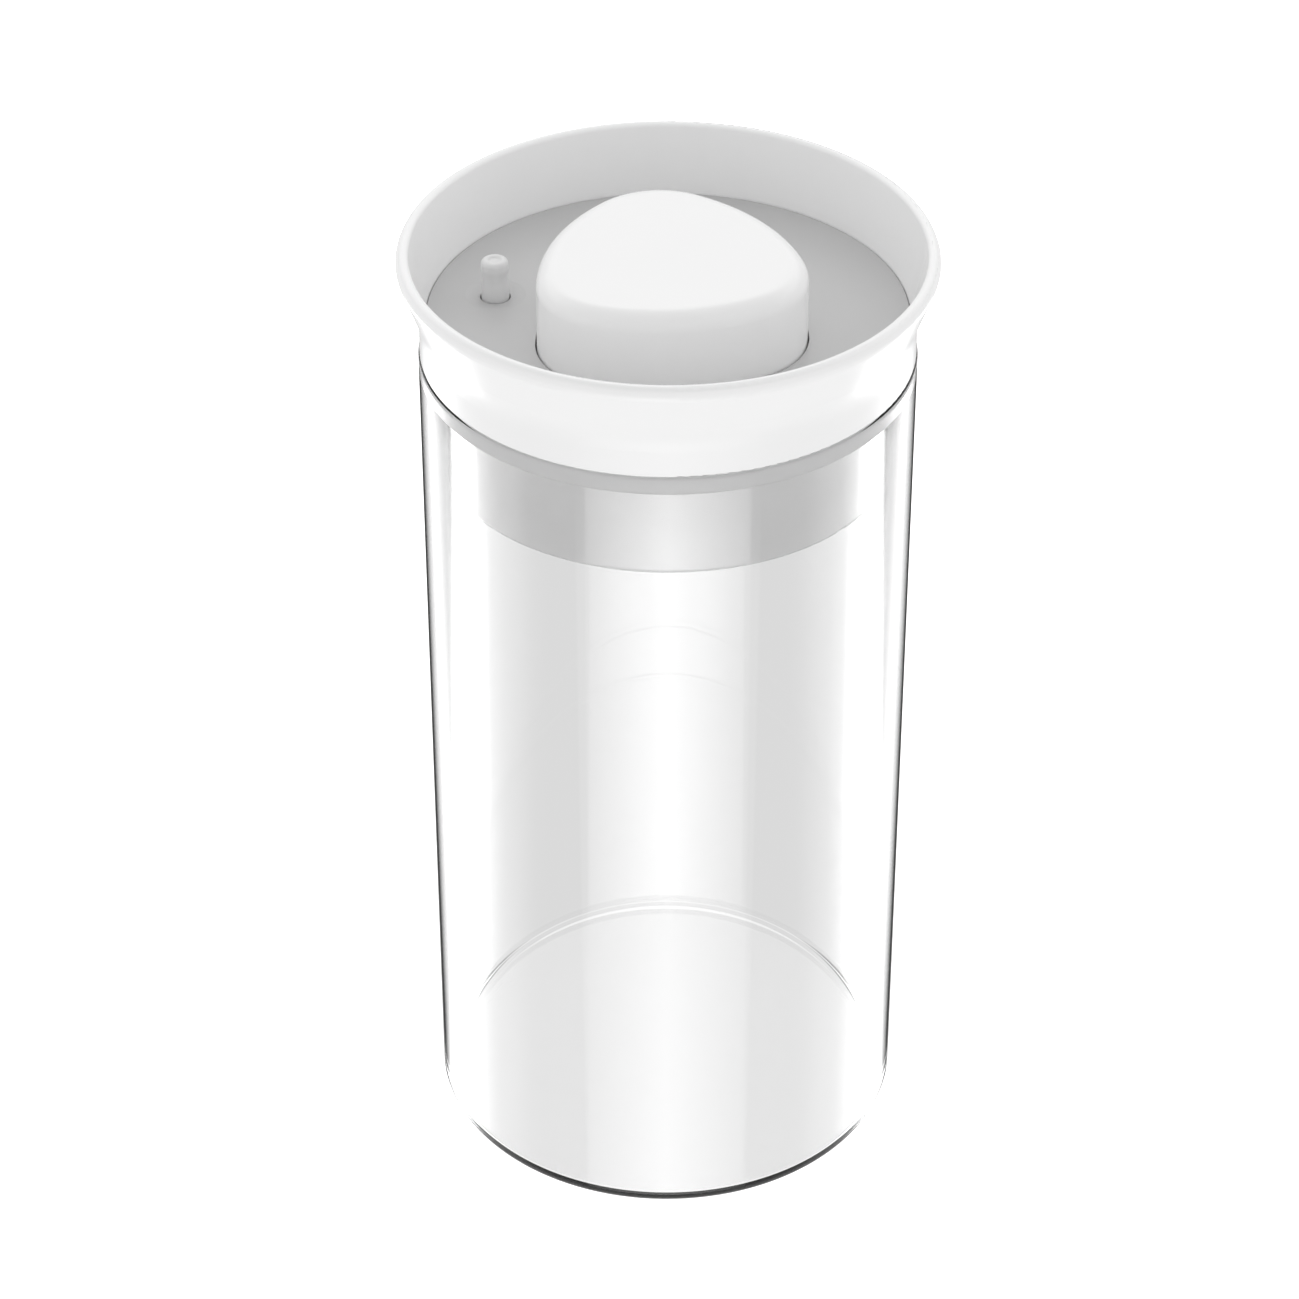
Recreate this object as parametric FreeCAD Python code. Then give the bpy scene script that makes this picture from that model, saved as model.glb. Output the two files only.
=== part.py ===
import FreeCAD, Part
import math
import os

os.makedirs("parts", exist_ok=True)

# Clear push-lid canister: a round jar, a plug lid with a bowl-shaped rim, a press knob that works
# an air pump inside the plug, and a pull pin that lets the air back in.
# Millimetres. +Z is up, the origin is the centre of the jar's underside.

Vector = FreeCAD.Vector

# ---- overall sizes ----
jar_radius = 44.0            # outside of the jar's wall
jar_height = 163.8           # underside to rim

# ---- jar ----
jar_wall = 2.0
jar_floor = 2.0
jar_well_fillet = 0.7        # inside bottom corner; the outside keeps the wall's thickness round it

# ---- lid: the moulded ring ----
rim_gap = 0.3                # jar rim to the ring's underside, taken up by the gasket's grip
ring_inset = 0.27            # ring skirt inside the jar's outer wall
lip_overhang = 3.6           # theoretical outer corner of the lip beyond the jar's wall
lip_height = 19.7            # lip corner above the ring's underside
flare_start = 7.5            # height where the outer wall turns outward
bowl_top_inset = 2.4         # bowl's top inner corner inside the lip's outer corner
web_thickness = 2.0
web_width = 7.7              # from the ring skirt inward

# ---- lid: the deck ----
deck_height = 6.66           # deck face above the ring's underside
deck_thickness = 2.0
deck_edge_inset = 1.46       # deck seat's wall inside the jar's outer wall
deck_fit = 0.1               # radial, deck in its seat
deck_skirt_width = 1.8

# ---- lid: the plug ----
plug_gap = 1.6               # plug wall to the inside of the jar
plug_wall = 1.8
plug_floor = 2.4
gasket_seat_height = 4.3
gasket_lift = 0.23           # gasket's outer part above the shoulder and below the ring
gasket_groove = 1.8          # neck inside the plug's wall
gasket_fit = 0.05            # radial, gasket to the jar's wall

# ---- pump knob, a soft triangle of six tangent arcs ----
knob_corner_circle = 10.04   # corner arcs' centres, from the knob's centre
knob_corner_radius = 14.86
knob_side_radius = 37.15
knob_turn = 98.2             # direction of one corner, degrees from +X
knob_offset = 5.0            # knob centre towards the front
knob_travel = 12.0
knob_proud = 2.4             # knob face above the deck when pressed
knob_wall = 1.8
knob_edge_fillet = 3.1
knob_gap = 0.3               # all round, in the deck's opening
knob_flange = 1.0
knob_flange_thickness = 1.4
knob_boss_height = 2.76
knob_boss_inset = 2.0        # boss inside the stop plate's edge
stop_gap = 0.2               # at each end of a travel

# ---- pump ----
cylinder_bore = 11.0
cylinder_wall = 1.4
foot_width = 1.1
seat_wall = 1.8
seat_height = 4.0
seal_section = 1.2
cap_thickness = 1.6
cap_skirt = 4.0
cap_wall = 1.1
rod_radius = 4.0
rod_bore = 2.3
rod_fillet = 0.6             # rod to the stop plate; the cap's edge is eased to clear it
running_fit = 0.06
piston_thickness = 4.0
cylinder_spare = 2.0         # cylinder above the piston at rest
valve_room = 2.2             # piston at full press to the plug's floor
piston_seal_height = 2.2
piston_groove = 2.2
stop_plate_radius = 9.0
stop_plate_thickness = 1.7
spring_wire = 1.0
spring_coils = 7

# ---- inlet valve and strainer ----
valve_disc_radius = 7.0
valve_stem_radius = 1.5
inlet_hole_radius = 1.0
inlet_hole_circle = 4.6
inlet_hole_count = 6
strainer_radius = 9.0
strainer_thickness = 1.0

# ---- release pin ----
pin_radius = 2.47
pin_waist = 0.25             # finger waist inside the pin's radius
pin_hole_gap = 0.26
pin_stand = 7.1              # pin top above the deck
pin_bearing = 169.1          # degrees from +X
pin_distance = 31.0
pin_dish_radius = 5.5
pin_dish_depth = 0.45
pin_travel = 3.0
pin_tube_wall = 1.5
pin_tube_length = 4.7
pin_stem_radius = 1.5
pin_flange_radius = 3.9
pin_flange_thickness = 1.2
pin_seal_thickness = 1.2
pin_nose_radius = 1.0
pin_spring_wire = 0.5
pin_spring_coils = 10

# ---- lid screws ----
screw_count = 4
screw_first = 45.0           # degrees from +X
boss_radius = 2.8
boss_edge_gap = 0.7          # boss to the web's inner edge
screw_shank = 1.08
screw_head_radius = 2.1
screw_head_height = 1.1
screw_reach = 7.0
screw_clearance = 0.12

# ---- places that follow from the sizes ----
jar_bore = jar_radius - jar_wall
ring_base = jar_height + rim_gap
ring_radius = jar_radius - ring_inset
web_inner = ring_radius - web_width
deck_seat = jar_radius - deck_edge_inset
deck_top = ring_base + deck_height
deck_under = deck_top - deck_thickness
plug_radius = jar_bore - plug_gap
neck_radius = plug_radius - gasket_groove
knob_centre = Vector(0, -knob_offset, 0)
knob_top = deck_top + knob_proud + knob_travel
knob_ceiling = knob_top - knob_wall
plate_top = knob_ceiling - knob_boss_height
plate_under = plate_top - stop_plate_thickness
cap_top = plate_under - stop_gap - knob_travel
cylinder_top = cap_top - cap_thickness
piston_base = cylinder_top - cylinder_spare - piston_thickness
plug_floor_top = piston_base - knob_travel - valve_room
plug_base = plug_floor_top - plug_floor
cylinder_radius = cylinder_bore + cylinder_wall
seat_bore = cylinder_radius + foot_width + running_fit
spring_radius = seat_bore + seat_wall / 2
pin_centre = Vector(pin_distance * math.cos(math.radians(pin_bearing)),
                    pin_distance * math.sin(math.radians(pin_bearing)), 0)
pin_hole = pin_radius + pin_hole_gap
pin_tube_end = deck_under - pin_tube_length
pin_flange_base = plug_floor_top + pin_seal_thickness
pin_flange_top = pin_flange_base + pin_flange_thickness
screw_circle = web_inner - boss_edge_gap - boss_radius


def corner_arc(before, here, after):
    """Start, middle and end of the fillet at one corner of a profile."""
    point = Vector(here[0], 0, here[1])
    fillet = here[2] if len(here) > 2 else 0
    if fillet == 0:
        return point, None, point
    back = (Vector(before[0], 0, before[1]) - point).normalize()
    ahead = (Vector(after[0], 0, after[1]) - point).normalize()
    half = back.getAngle(ahead) / 2
    reach = fillet / math.tan(half)
    bisector = (back + ahead).normalize()
    middle = point + bisector * (fillet / math.sin(half) - fillet)
    return point + back * reach, middle, point + ahead * reach


def profile(corners):
    """Closed face in the XZ plane from (radius, height, fillet) corners."""
    count = len(corners)
    arcs = [corner_arc(corners[i - 1], corners[i], corners[(i + 1) % count]) for i in range(count)]
    edges = []
    for i, (start, middle, end) in enumerate(arcs):
        if middle is not None:
            edges.append(Part.Arc(start, middle, end).toShape())
        next_start = arcs[(i + 1) % count][0]
        if end.distanceToPoint(next_start) > 1e-6:
            edges.append(Part.LineSegment(end, next_start).toShape())
    return Part.Face(Part.Wire(edges))


def lathe(corners, centre=Vector(0, 0, 0)):
    """Solid turned about the vertical line through centre."""
    solid = profile(corners).revolve(Vector(0, 0, 0), Vector(0, 0, 1), 360)
    solid.translate(centre)
    return solid


def rod(radius, bottom, top, centre=Vector(0, 0, 0)):
    return Part.makeCylinder(radius, top - bottom, Vector(centre.x, centre.y, bottom))


def tube(inner, outer, bottom, top, centre=Vector(0, 0, 0)):
    return rod(outer, bottom, top, centre).cut(rod(inner, bottom, top, centre))


def ring_of(make, count, circle, first=0.0, centre=Vector(0, 0, 0)):
    """The same solid at equal steps round a circle."""
    solids = []
    for i in range(count):
        angle = math.radians(first + 360.0 * i / count)
        solids.append(make(centre + Vector(circle * math.cos(angle), circle * math.sin(angle), 0)))
    return solids


def knob_outline(grow, height):
    """Closed outline of the knob, grown outward by the given amount."""
    corners = []
    for i in range(3):
        angle = math.radians(knob_turn + 120 * i)
        corners.append(Vector(math.cos(angle), math.sin(angle), 0) * knob_corner_circle + knob_centre)
    half = corners[0].distanceToPoint(corners[1]) / 2
    set_back = math.sqrt((knob_side_radius - knob_corner_radius) ** 2 - half ** 2)
    sides = []
    for i in range(3):
        middle = (corners[i] + corners[(i + 1) % 3]) / 2
        sides.append(middle - (middle - knob_centre).normalize() * set_back)
    lift = Vector(0, 0, height)
    edges = []
    for i in range(3):
        here, side, previous = corners[i], sides[i], sides[i - 1]
        outward = (here - knob_centre).normalize()
        joint_in = here + (here - previous).normalize() * (knob_corner_radius + grow)
        joint_out = here + (here - side).normalize() * (knob_corner_radius + grow)
        tip = here + outward * (knob_corner_radius + grow)
        edges.append(Part.Arc(joint_in + lift, tip + lift, joint_out + lift).toShape())
        after = corners[(i + 1) % 3]
        belly = side + ((here + after) / 2 - side).normalize() * (knob_side_radius + grow)
        side_end = after + (after - side).normalize() * (knob_corner_radius + grow)
        edges.append(Part.Arc(joint_out + lift, belly + lift, side_end + lift).toShape())
    return Part.Wire(edges)


def knob_prism(grow, bottom, top):
    return Part.Face(knob_outline(grow, bottom)).extrude(Vector(0, 0, top - bottom))


def soften(solid, height, radius):
    """Fillet every edge that lies flat at one height."""
    edges = [edge for edge in solid.Edges
             if abs(edge.BoundBox.ZMin - height) < 1e-4 and abs(edge.BoundBox.ZMax - height) < 1e-4]
    return solid.makeFillet(radius, edges)


def coil(radius, wire, bottom, top, turns, centre):
    """Round-wire spring between two heights."""
    height = top - bottom - wire
    pitch = height / turns
    helix = Part.makeHelix(pitch, height, radius)
    along = Vector(0, 2 * math.pi * radius, pitch).normalize()
    section = Part.Wire([Part.makeCircle(wire / 2, Vector(radius, 0, 0), along)])
    spring = Part.Wire(helix.Edges).makePipeShell([section], True, True)
    spring.translate(centre + Vector(0, 0, bottom + wire / 2))
    return spring


def jar():
    return lathe([(0, 0), (jar_radius, 0, jar_well_fillet + jar_wall), (jar_radius, jar_height, 0.95),
                  (jar_bore, jar_height, 0.95), (jar_bore, jar_floor, jar_well_fillet), (0, jar_floor)])


def lid_ring():
    lip = jar_radius + lip_overhang
    top = ring_base + lip_height
    return lathe([(ring_radius, ring_base, 0.4),
                  (ring_radius, ring_base + flare_start, 14),
                  (lip, top - 1.75, 2.2),
                  (lip - 1.0, top, 1.0),
                  (lip - bowl_top_inset, top - 0.45, 0.7),
                  (deck_seat, deck_top, 2.0),
                  (deck_seat, ring_base + web_thickness),
                  (web_inner, ring_base + web_thickness, 0.4),
                  (web_inner, ring_base)])


def lid_deck():
    edge = deck_seat - deck_fit
    deck = lathe([(0, deck_under), (edge - deck_skirt_width, deck_under, 0.6),
                  (edge - deck_skirt_width, ring_base + web_thickness),
                  (edge, ring_base + web_thickness), (edge, deck_top, 0.25), (0, deck_top)])
    bosses = ring_of(lambda spot: rod(boss_radius, plug_floor_top, deck_under + 0.5, spot),
                     screw_count, screw_circle, screw_first)
    guide = rod(pin_hole + pin_tube_wall, pin_tube_end, deck_under + 0.5, pin_centre)
    deck = deck.fuse(bosses + [guide])
    opening = knob_prism(knob_gap, deck_under - 1, deck_top + 1)
    cores = ring_of(lambda spot: rod(screw_shank + 0.02, plug_floor_top, plug_floor_top + screw_reach, spot),
                    screw_count, screw_circle, screw_first)
    bore = rod(pin_hole, pin_tube_end - 1, deck_top + 1, pin_centre)
    dish = lathe([(0, deck_top - pin_dish_depth), (pin_hole, deck_top - pin_dish_depth, 1.5),
                  (pin_dish_radius, deck_top + 0.02), (pin_dish_radius, deck_top + 1), (0, deck_top + 1)],
                 pin_centre)
    return deck.cut([opening, bore, dish] + cores)


def plug_shell():
    inner = plug_radius - plug_wall
    neck_inner = neck_radius - plug_wall
    shoulder = ring_base - gasket_seat_height
    shell = lathe([(0, plug_base), (plug_radius, plug_base, 1.2), (plug_radius, shoulder, 0.3),
                   (neck_radius, shoulder), (neck_radius, ring_base), (neck_inner, ring_base),
                   (neck_inner, shoulder - plug_wall, 0.5), (inner, shoulder - plug_wall, 0.5),
                   (inner, plug_floor_top, 1.0), (0, plug_floor_top)])
    seat = tube(seat_bore, seat_bore + seat_wall, plug_floor_top - 0.5, plug_floor_top + seat_height,
                knob_centre)
    shell = shell.fuse(seat)
    cuts = ring_of(lambda spot: rod(inlet_hole_radius, plug_base - 1, plug_floor_top + 1, spot),
                   inlet_hole_count, inlet_hole_circle, 0, knob_centre)
    cuts.append(rod(valve_stem_radius, plug_base - 1, plug_floor_top + 1, knob_centre))
    cuts.append(rod(strainer_radius, plug_base - 1, plug_base + strainer_thickness, knob_centre))
    cuts.append(rod(pin_nose_radius + 0.6, plug_base - 1, plug_floor_top + 1, pin_centre))
    cuts += ring_of(lambda spot: rod(screw_shank + screw_clearance, plug_base - 1, plug_floor_top + 1, spot),
                    screw_count, screw_circle, screw_first)
    cuts += ring_of(lambda spot: rod(screw_head_radius + screw_clearance, plug_base - 1,
                                     plug_base + screw_head_height + 0.1, spot),
                    screw_count, screw_circle, screw_first)
    return shell.cut(cuts)


def main_gasket():
    outer = jar_bore - gasket_fit
    shoulder = ring_base - gasket_seat_height
    bottom = shoulder + gasket_lift
    top = ring_base - gasket_lift
    return lathe([(neck_radius, shoulder), (plug_radius - 0.4, shoulder), (plug_radius - 0.4, bottom),
                  (outer, bottom, 0.35), (outer, top, 0.35), (neck_radius, top)])


def lid_screw(spot):
    shank_top = plug_floor_top + screw_reach - 0.4
    head_base = plug_base + 0.1
    screw = lathe([(0, head_base), (screw_head_radius, head_base, 0.3),
                   (screw_head_radius, head_base + screw_head_height),
                   (screw_shank, head_base + screw_head_height), (screw_shank, shank_top - 1.2),
                   (0.3, shank_top), (0, shank_top)], spot)
    slots = [Part.makeBox(2.4, 0.5, 0.7, Vector(-1.2, -0.25, head_base - 0.1)),
             Part.makeBox(0.5, 2.4, 0.7, Vector(-0.25, -1.2, head_base - 0.1))]
    for slot in slots:
        slot.translate(spot)
    return screw.cut(slots)


def pump_cylinder():
    foot = cylinder_radius + foot_width
    return lathe([(cylinder_bore, plug_floor_top), (foot, plug_floor_top), (foot, plug_floor_top + 1.2, 0.2),
                  (cylinder_radius, plug_floor_top + 1.2), (cylinder_radius, cylinder_top, 0.3),
                  (cylinder_bore, cylinder_top, 0.3)], knob_centre)


def cylinder_seal():
    section = (seat_bore - cylinder_radius) / 2
    height = plug_floor_top + 1.2 + section
    return Part.makeTorus(cylinder_radius + section, section - 0.005,
                          Vector(knob_centre.x, knob_centre.y, height))


def cylinder_cap():
    inner = cylinder_radius + 0.05
    cap = lathe([(rod_radius + running_fit, cylinder_top), (inner, cylinder_top),
                 (inner, cylinder_top - cap_skirt), (inner + cap_wall, cylinder_top - cap_skirt),
                 (inner + cap_wall, cap_top, 0.6),
                 (rod_radius + running_fit, cap_top, rod_fillet + stop_gap)], knob_centre)
    vents = ring_of(lambda spot: rod(1.0, cylinder_top - 1, cap_top + 1, spot),
                    4, cylinder_bore - 3.5, 45, knob_centre)
    return cap.cut(vents)


def inlet_valve():
    bulb_base = plug_base + 0.15
    neck = plug_base + strainer_thickness
    return lathe([(0, bulb_base), (1.2, bulb_base, 0.3), (2.0, neck - 0.3, 0.2), (2.0, neck),
                  (valve_stem_radius - 0.03, neck), (valve_stem_radius - 0.03, plug_floor_top),
                  (valve_disc_radius, plug_floor_top), (valve_disc_radius, plug_floor_top + 0.4, 0.2),
                  (2.6, plug_floor_top + 1.2, 2.0), (0, plug_floor_top + 1.2)], knob_centre)


def strainer():
    disc = lathe([(2.4, plug_base), (strainer_radius - 0.04, plug_base, 0.2),
                  (strainer_radius - 0.04, plug_base + strainer_thickness),
                  (2.4, plug_base + strainer_thickness)], knob_centre)
    holes = ring_of(lambda spot: rod(0.7, plug_base - 1, plug_floor_top, spot), 8, 4.2, 0, knob_centre)
    holes += ring_of(lambda spot: rod(0.7, plug_base - 1, plug_floor_top, spot), 12, 6.6, 0, knob_centre)
    return disc.cut(holes)


def knob_cap():
    flange_top = deck_under - stop_gap
    base = flange_top - knob_flange_thickness
    shell = soften(knob_prism(0, base, knob_top), knob_top, knob_edge_fillet)
    hollow = soften(knob_prism(-knob_wall, base - 1, knob_ceiling), knob_ceiling,
                    knob_edge_fillet - knob_wall)
    flange = knob_prism(knob_flange, base, flange_top)
    flange = flange.cut(knob_prism(-knob_wall, base - 1, flange_top + 1))
    boss = rod(stop_plate_radius - knob_boss_inset, plate_top, knob_ceiling + 0.5, knob_centre)
    core = rod(1.12, plate_top - 1, plate_top + 3.4, knob_centre)
    return shell.cut(hollow).fuse([flange, boss]).cut(core)


def piston_rod():
    bottom = piston_base + piston_thickness
    return lathe([(rod_bore, bottom), (rod_radius, bottom), (rod_radius, plate_under, rod_fillet),
                  (stop_plate_radius, plate_under, 0.3), (stop_plate_radius, plate_top),
                  (1.25, plate_top), (1.25, plate_under - 0.3), (rod_bore, plate_under - 0.3)], knob_centre)


def piston():
    edge = cylinder_bore - 0.3
    top = piston_base + piston_thickness
    groove = (piston_base + 0.9, piston_base + 0.9 + piston_seal_height + 0.1)
    return lathe([(0, piston_base), (edge, piston_base, 0.3), (edge, groove[0]),
                  (cylinder_bore - piston_groove, groove[0]), (cylinder_bore - piston_groove, groove[1]),
                  (edge, groove[1]), (edge, top, 0.2), (rod_bore - 0.02, top),
                  (rod_bore - 0.02, top + 5, 0.3), (0, top + 5)], knob_centre)


def piston_seal():
    inner = cylinder_bore - piston_groove + 0.05
    outer = cylinder_bore - running_fit
    base = piston_base + 0.95
    top = base + piston_seal_height
    return lathe([(inner, base, 0.2), (outer, base, 0.2), (outer - 0.35, top - 0.2, 0.2),
                  (outer - 0.9, top - 0.2, 0.2), (outer - 0.9, base + 0.9, 0.2),
                  (inner + 0.6, base + 0.9, 0.2), (inner + 0.6, top, 0.15), (inner, top, 0.15)], knob_centre)


def knob_screw():
    seat = plate_under - 0.3
    return lathe([(0, seat - 1.4), (1.9, seat - 1.4, 0.4), (1.9, seat), (1.1, seat),
                  (1.1, plate_top + 2.4), (0.3, plate_top + 3.2), (0, plate_top + 3.2)], knob_centre)


def return_spring():
    return coil(spring_radius, spring_wire, plug_floor_top + seat_height, knob_ceiling, spring_coils,
                knob_centre)


def release_pin():
    top = deck_top + pin_stand
    waist = pin_radius - pin_waist
    return lathe([(0, plug_base + 0.5), (pin_nose_radius, plug_base + 0.5, 0.4),
                  (pin_nose_radius, pin_flange_base), (pin_flange_radius, pin_flange_base, 0.3),
                  (pin_flange_radius, pin_flange_top, 0.3), (pin_stem_radius, pin_flange_top, 0.4),
                  (pin_stem_radius, pin_tube_end - 0.5), (pin_radius, pin_tube_end + 1, 0.3),
                  (pin_radius, deck_top + 1.4, 3.0), (waist, deck_top + 3.0, 3.0),
                  (waist, deck_top + 4.0, 3.0), (pin_radius, top - 1.7, 1.6),
                  (pin_radius - 0.1, top, 0.8), (pin_radius - 1.2, top - 0.1, 0.6),
                  (pin_radius - 1.6, top - 0.35, 0.4), (0, top - 0.35)], pin_centre)


def pin_seal():
    return lathe([(pin_nose_radius + 0.01, plug_floor_top, 0.1), (pin_flange_radius - 0.4, plug_floor_top, 0.3),
                  (pin_flange_radius - 0.4, pin_flange_base, 0.2), (pin_nose_radius + 0.01, pin_flange_base)],
                 pin_centre)


def pin_spring():
    radius = pin_hole + pin_tube_wall / 2 - 0.1
    return coil(radius, pin_spring_wire, pin_flange_top, pin_tube_end, pin_spring_coils, pin_centre)


def main():
    solids = {
        "jar": jar(),
        "lid_ring": lid_ring(),
        "lid_deck": lid_deck(),
        "plug_shell": plug_shell(),
        "main_gasket": main_gasket(),
        "lid_screws": Part.makeCompound(ring_of(lid_screw, screw_count, screw_circle, screw_first)),
        "pump_cylinder": pump_cylinder(),
        "cylinder_seal": cylinder_seal(),
        "cylinder_cap": cylinder_cap(),
        "inlet_valve": inlet_valve(),
        "inlet_strainer": strainer(),
        "knob_cap": knob_cap(),
        "piston_rod": piston_rod(),
        "piston": piston(),
        "piston_seal": piston_seal(),
        "knob_screw": knob_screw(),
        "return_spring": return_spring(),
        "release_pin": release_pin(),
        "pin_seal": pin_seal(),
        "pin_spring": pin_spring(),
    }
    for name, solid in solids.items():
        solid.exportStep("parts/" + name + ".step")


main()
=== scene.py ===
import math

import bmesh
import bpy
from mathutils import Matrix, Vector


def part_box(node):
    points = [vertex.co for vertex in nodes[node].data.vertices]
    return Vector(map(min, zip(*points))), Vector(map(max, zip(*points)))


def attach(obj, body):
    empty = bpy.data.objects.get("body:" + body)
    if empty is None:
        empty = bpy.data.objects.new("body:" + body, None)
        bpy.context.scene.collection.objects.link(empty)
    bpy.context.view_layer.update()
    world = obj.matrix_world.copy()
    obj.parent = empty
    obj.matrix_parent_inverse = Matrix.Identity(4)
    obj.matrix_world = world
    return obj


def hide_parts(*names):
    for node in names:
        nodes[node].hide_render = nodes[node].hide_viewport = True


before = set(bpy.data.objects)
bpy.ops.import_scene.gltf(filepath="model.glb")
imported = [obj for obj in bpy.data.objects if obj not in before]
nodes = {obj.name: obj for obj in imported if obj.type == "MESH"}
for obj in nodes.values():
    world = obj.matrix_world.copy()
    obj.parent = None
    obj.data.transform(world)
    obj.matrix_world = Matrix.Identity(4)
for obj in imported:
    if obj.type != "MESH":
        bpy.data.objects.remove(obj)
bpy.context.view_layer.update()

# Metres, in the CAD frame: +Z up, origin at the centre of the jar's underside, -Y is the front.
MM = 0.001
RING_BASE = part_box("lid_ring")[0].z

# the clear jar, in mm
JAR_RADIUS = 44.0
JAR_HEIGHT = 163.8
JAR_BORE = 42.0
JAR_FLOOR = 2.0
FOOT_FILLET = 2.7            # outside bottom corner
WELL_FILLET = 0.7            # inside bottom corner
RIM_FILLET = 0.4

# the gasket band, in mm; depths are below the ring's underside
GASKET_INNER = 38.6
GASKET_STEP = 40.0
GASKET_OUTER = 42.05         # just into the clear wall, so that no air shows between them
GASKET_TOP = 0.25
GASKET_BOTTOM = 4.07
GASKET_FOOT = 4.3
GASKET_FILLET = 0.3

PLASTIC_IOR = 1.49


# ---------------------------------------------------------------- meshes

def fillet(before, here, after, steps):
    """Points of a rounded corner of a profile; here is (radius, height, fillet) in mm."""
    p = Vector((here[0], here[1]))
    r = here[2] if len(here) > 2 else 0.0
    if r <= 0:
        return [p]
    a = (Vector(before[:2]) - p).normalized()
    b = (Vector(after[:2]) - p).normalized()
    half = a.angle(b) / 2
    centre = p + (a + b).normalized() * (r / math.sin(half))
    start = p + a * (r / math.tan(half)) - centre
    end = p + b * (r / math.tan(half)) - centre
    total = start.angle_signed(end)
    points = []
    for i in range(steps + 1):
        t = total * i / steps
        c, s = math.cos(-t), math.sin(-t)
        points.append(centre + Vector((start.x * c - start.y * s, start.x * s + start.y * c)))
    return points


def rounded(corners, steps=8, closed=True):
    count = len(corners)
    points = []
    for i in range(count):
        if not closed and i in (0, count - 1):
            points.append(Vector(corners[i][:2]))
            continue
        points += fillet(corners[i - 1], corners[i], corners[(i + 1) % count], steps)
    return points


def lathe(name, corners, centre=(0.0, 0.0), segments=160, steps=8):
    """A closed profile turned about the vertical line through centre. Corners are in mm."""
    points = rounded(corners, steps)
    bm = bmesh.new()
    rings = []
    for p in points:
        if p.x < 1e-6:
            rings.append([bm.verts.new((centre[0] * MM, centre[1] * MM, p.y * MM))])
            continue
        ring = []
        for j in range(segments):
            a = 2 * math.pi * j / segments
            ring.append(bm.verts.new(((centre[0] + p.x * math.cos(a)) * MM,
                                      (centre[1] + p.x * math.sin(a)) * MM, p.y * MM)))
        rings.append(ring)
    count = len(rings)
    for i in range(count):
        a, b = rings[i], rings[(i + 1) % count]
        if len(a) == 1 and len(b) == 1:
            continue
        for j in range(segments):
            k = (j + 1) % segments
            if len(a) == 1:
                bm.faces.new((a[0], b[k], b[j]))
            elif len(b) == 1:
                bm.faces.new((a[j], a[k], b[0]))
            else:
                bm.faces.new((a[j], a[k], b[k], b[j]))
    return finish_mesh(name, bm)


def finish_mesh(name, bm, angle=35):
    bmesh.ops.remove_doubles(bm, verts=bm.verts, dist=1e-8)
    bmesh.ops.recalc_face_normals(bm, faces=bm.faces)
    mesh = bpy.data.meshes.new(name)
    bm.to_mesh(mesh)
    bm.free()
    mesh.shade_smooth()
    mesh.set_sharp_from_angle(angle=math.radians(angle))
    obj = bpy.data.objects.new(name, mesh)
    bpy.context.scene.collection.objects.link(obj)
    return obj


# ---------------------------------------------------------------- materials

def material(name, **inputs):
    m = bpy.data.materials.new(name)
    m.use_nodes = True
    shader = m.node_tree.nodes["Principled BSDF"]
    for key, value in inputs.items():
        shader.inputs[key.replace("_", " ")].default_value = value
    return m, m.node_tree, shader


def link(tree, source, target):
    tree.links.new(source, target)


def add(tree, kind, **settings):
    node = tree.nodes.new(kind)
    for key, value in settings.items():
        setattr(node, key, value)
    return node


def moulded(name, colour, roughness, grain=900.0, depth=0.05, mottling=0.02, **more):
    """Moulded plastic: faint flow mottling in colour and gloss, and a very fine surface grain."""
    m, tree, shader = material(name, IOR=PLASTIC_IOR, **more)
    where = add(tree, "ShaderNodeTexCoord")
    flow = add(tree, "ShaderNodeTexNoise")
    flow.inputs["Scale"].default_value = 35.0
    flow.inputs["Detail"].default_value = 3.0
    link(tree, where.outputs["Object"], flow.inputs["Vector"])
    tint = add(tree, "ShaderNodeMixRGB")
    tint.inputs[1].default_value = (*[c * (1 - mottling) for c in colour], 1)
    tint.inputs[2].default_value = (*colour, 1)
    link(tree, flow.outputs["Fac"], tint.inputs[0])
    link(tree, tint.outputs[0], shader.inputs["Base Color"])
    rough = add(tree, "ShaderNodeMapRange")
    rough.inputs["To Min"].default_value = roughness * 0.9
    rough.inputs["To Max"].default_value = roughness * 1.1
    link(tree, flow.outputs["Fac"], rough.inputs["Value"])
    link(tree, rough.outputs[0], shader.inputs["Roughness"])
    fine = add(tree, "ShaderNodeTexNoise")
    fine.inputs["Scale"].default_value = grain
    link(tree, where.outputs["Object"], fine.inputs["Vector"])
    bump = add(tree, "ShaderNodeBump")
    bump.inputs["Strength"].default_value = depth
    bump.inputs["Distance"].default_value = 0.0001
    link(tree, fine.outputs["Fac"], bump.inputs["Height"])
    link(tree, bump.outputs[0], shader.inputs["Normal"])
    return m


def clear():
    m, tree, shader = material("clear_wall", IOR=PLASTIC_IOR, Roughness=0.0, Transmission_Weight=1.0)
    shader.inputs["Base Color"].default_value = (1.0, 1.0, 1.0, 1)
    return m


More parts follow.
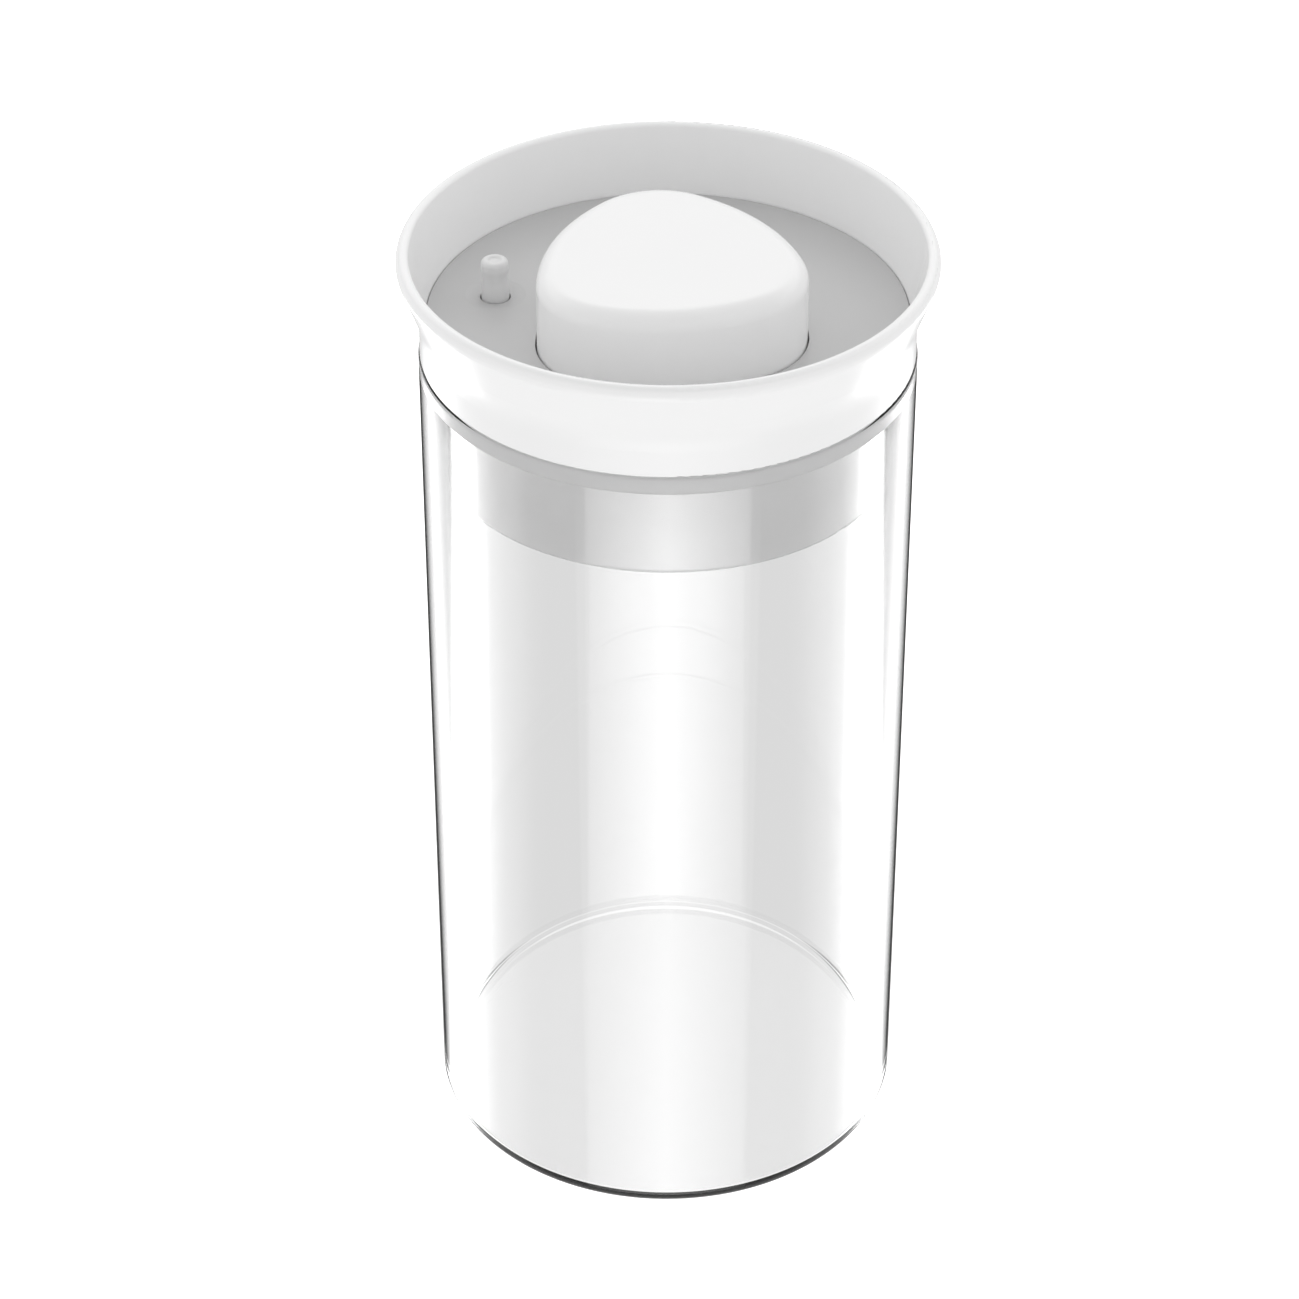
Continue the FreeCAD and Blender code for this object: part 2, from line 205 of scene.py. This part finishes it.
def brushed(name):
    m, tree, shader = material(name, Metallic=1.0, Roughness=0.3)
    where = add(tree, "ShaderNodeTexCoord")
    noise = add(tree, "ShaderNodeTexNoise")
    noise.inputs["Scale"].default_value = 500.0
    link(tree, where.outputs["Object"], noise.inputs["Vector"])
    tint = add(tree, "ShaderNodeMixRGB")
    tint.inputs[1].default_value = (0.52, 0.52, 0.53, 1)
    tint.inputs[2].default_value = (0.68, 0.68, 0.69, 1)
    link(tree, noise.outputs["Fac"], tint.inputs[0])
    link(tree, tint.outputs[0], shader.inputs["Base Color"])
    return m


RING = moulded("white_ring", (0.96, 0.96, 0.96), 0.25)
# the deck is the same white plastic as the ring; its 0.58 grey is painted shade standing in for the shade in the
# lid's recess
DECK_PAINTED_SHADE = moulded("deck_painted_shade", (0.58, 0.58, 0.58), 0.45)
# the plug is the same white plastic as the ring; its darker 0.87 is painted shade
PLUG_PAINTED_SHADE = moulded("plug_painted_shade", (0.87, 0.87, 0.87), 0.08, depth=0.01, Specular_IOR_Level=1.0, Coat_Weight=1.0)
KNOB = moulded("white_knob", (0.93, 0.93, 0.93), 0.2)
# the pin is the same white plastic as the ring; its darker 0.76 is painted shade
PIN_PAINTED_SHADE = moulded("pin_painted_shade", (0.76, 0.76, 0.76), 0.4)
INNER = moulded("natural_plastic", (0.74, 0.74, 0.72), 0.5)
PALE = moulded("pale_silicone", (0.97, 0.97, 0.97), 0.2)
DARK = moulded("black_rubber", (0.025, 0.025, 0.025), 0.6)
STEEL = brushed("stainless")
CLEAR = clear()

finishes = {
    "jar": CLEAR, "lid_ring": RING, "lid_deck": DECK_PAINTED_SHADE, "plug_shell": PLUG_PAINTED_SHADE, "main_gasket": PALE,
    "lid_screws": STEEL, "pump_cylinder": INNER, "cylinder_seal": DARK, "cylinder_cap": INNER,
    "inlet_valve": PALE, "inlet_strainer": PLUG_PAINTED_SHADE, "knob_cap": KNOB, "piston_rod": INNER,
    "piston": INNER, "piston_seal": DARK, "knob_screw": STEEL, "return_spring": STEEL,
    "release_pin": PIN_PAINTED_SHADE, "pin_seal": PALE, "pin_spring": STEEL,
}
for name, finish in finishes.items():
    mesh = nodes[name].data
    mesh.materials.clear()
    mesh.materials.append(finish)


# ---------------------------------------------------------------- the clear jar

jar = lathe("clear_jar", [
    (0, 0), (JAR_RADIUS, 0, FOOT_FILLET), (JAR_RADIUS, JAR_HEIGHT, RIM_FILLET), (JAR_BORE, JAR_HEIGHT, RIM_FILLET),
    (JAR_BORE, JAR_FLOOR, WELL_FILLET), (0, JAR_FLOOR)], segments=256, steps=12)
jar.data.materials.append(CLEAR)
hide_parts("jar")
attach(jar, "jar")


# ---------------------------------------------------------------- the gasket, squeezed against the clear wall

base_mm = RING_BASE / MM
gasket = lathe("squeezed_gasket", [
    (GASKET_INNER, base_mm - GASKET_FOOT), (GASKET_STEP, base_mm - GASKET_FOOT),
    (GASKET_STEP, base_mm - GASKET_BOTTOM), (GASKET_OUTER, base_mm - GASKET_BOTTOM, GASKET_FILLET),
    (GASKET_OUTER, base_mm - GASKET_TOP, GASKET_FILLET), (GASKET_INNER, base_mm - GASKET_TOP)], segments=256)
gasket.data.materials.append(PALE)
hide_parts("main_gasket")
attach(gasket, "lid")


# ---------------------------------------------------------------- stage, light and camera

FLOOR_SIDE, FLOOR_FRONT, FLOOR_BACK = 3, -3, 6
floor_mesh = bpy.data.meshes.new("floor")
floor_mesh.from_pydata([(-FLOOR_SIDE, FLOOR_FRONT, 0), (FLOOR_SIDE, FLOOR_FRONT, 0),
                        (FLOOR_SIDE, FLOOR_BACK, 0), (-FLOOR_SIDE, FLOOR_BACK, 0)], [], [(0, 1, 2, 3)])
floor = bpy.data.objects.new("floor", floor_mesh)
bpy.context.scene.collection.objects.link(floor)
paper, tree, shader = material("pale_floor", Roughness=0.9)
shader.inputs["Base Color"].default_value = (0.9, 0.9, 0.9, 1)
shader.inputs["Emission Color"].default_value = (1, 1, 1, 1)
shader.inputs["Emission Strength"].default_value = 1.0
floor_mesh.materials.append(paper)
floor.visible_transmission = False
floor.visible_glossy = False
floor.visible_diffuse = False

world = bpy.data.worlds.new("studio")
bpy.context.scene.world = world
world.use_nodes = True
wt = world.node_tree
wt.nodes.clear()
out = add(wt, "ShaderNodeOutputWorld")
background = add(wt, "ShaderNodeBackground")
link(wt, background.outputs[0], out.inputs[0])
coord = add(wt, "ShaderNodeTexCoord")
split = add(wt, "ShaderNodeSeparateXYZ")
link(wt, coord.outputs["Generated"], split.inputs[0])


def maths(kind, a, b=None, c=None):
    node = add(wt, "ShaderNodeMath", operation=kind)
    for i, v in enumerate((a, b, c)):
        if v is None:
            continue
        if isinstance(v, (int, float)):
            node.inputs[i].default_value = v
        else:
            link(wt, v, node.inputs[i])
    return node.outputs[0]


def ramp(value, low, high, at_low, at_high, smooth=True):
    node = add(wt, "ShaderNodeMapRange", interpolation_type="SMOOTHSTEP" if smooth else "LINEAR")
    link(wt, value, node.inputs["Value"])
    for key, v in (("From Min", low), ("From Max", high), ("To Min", at_low), ("To Max", at_high)):
        node.inputs[key].default_value = v
    return node.outputs[0]


BACKDROP = 1.0   # the brightness the camera sees behind the object, plain white like the floor

# bearing from the front (-Y), 0 to 180 degrees each way, and elevation, -90 to 90
bearing = maths("MULTIPLY", maths("ARCTAN2", split.outputs[0], maths("MULTIPLY", split.outputs[1], -1.0)),
                180 / math.pi)
away = maths("ABSOLUTE", bearing)
elevation = maths("MULTIPLY", maths("ARCSINE", split.outputs[2]), 180 / math.pi)


def panels(value, stops):
    """Brightness that runs straight from each (place, brightness) to the next."""
    total = stops[0][1]
    for (start, before), (end, after) in zip(stops, stops[1:]):
        if after != before:
            total = maths("ADD", total, ramp(value, start, end, 0.0, after - before, smooth=False))
    return total


# what the upright clear wall sees: a wide soft box in front, grey flats, two long side boxes that
# get brighter towards the back, and a dark edge flag each side of the plain backdrop
FLAT, FLAG, BACK = 0.87, 0.1, 0.88
low = panels(away, [
    (0.0, 3.6), (42.0, 1.55),                                                      # soft box in front
    (43.4, FLAT), (66.0, FLAT), (76.0, 0.95),                                      # grey flats
    (86.0, 1.3), (100.0, 1.5), (115.0, 2.5), (125.0, 6.0), (140.0, 6.5),           # side boxes
    (148.0, 3.4), (152.0, 2.2), (157.0, 1.0), (161.0, 0.25),                       # their fading edge
    (163.0, FLAG), (167.0, FLAG),                                                  # dark flags
    (170.5, BACK), (180.0, BACK)])                                                 # plain backdrop
band = maths("MULTIPLY", ramp(elevation, -50.0, -46.0, 0.0, 1.0), ramp(elevation, -31.0, -29.0, 1.0, 0.0))
dome = panels(elevation, [(-10.0, 1.12), (20.0, 1.0), (50.0, 0.95), (75.0, 0.75)])
behind = panels(elevation, [(15.0, 0.0), (25.0, 1.1), (42.0, 1.1), (55.0, 0.0)])
around = maths("MULTIPLY_ADD", behind, ramp(away, 80.0, 120.0, 0.0, 1.0), dome)
light = maths("ADD", maths("MULTIPLY", low, band), maths("MULTIPLY", around, maths("SUBTRACT", 1.0, band)))
path = add(wt, "ShaderNodeLightPath")
camera_ray = path.outputs["Is Camera Ray"]
mix = add(wt, "ShaderNodeMix", data_type="FLOAT")
link(wt, camera_ray, mix.inputs["Factor"])
link(wt, light, mix.inputs["A"])
mix.inputs["B"].default_value = BACKDROP / background.inputs["Color"].default_value[0]
link(wt, mix.outputs["Result"], background.inputs["Strength"])

# Camera offsets are in jar radii, from the middle of the ring's underside.
CAMERA_RIGHT, CAMERA_AHEAD, CAMERA_UP = -0.07397, -14.3796, 8.6233
CAMERA_DOWN = 35.1376        # degrees below level
radius = JAR_RADIUS * MM
camera_data = bpy.data.cameras.new("camera")
camera_data.sensor_width = 36.0
camera_data.lens = 115.77
camera_data.clip_start = 0.01
camera = bpy.data.objects.new("camera", camera_data)
camera.location = (CAMERA_RIGHT * radius, CAMERA_AHEAD * radius, RING_BASE + CAMERA_UP * radius)
camera.rotation_euler = (math.radians(90 - CAMERA_DOWN), 0, 0)
bpy.context.scene.collection.objects.link(camera)
bpy.context.scene.camera = camera

bpy.context.scene.view_settings.view_transform = "Standard"
bpy.context.scene.view_settings.look = "None"
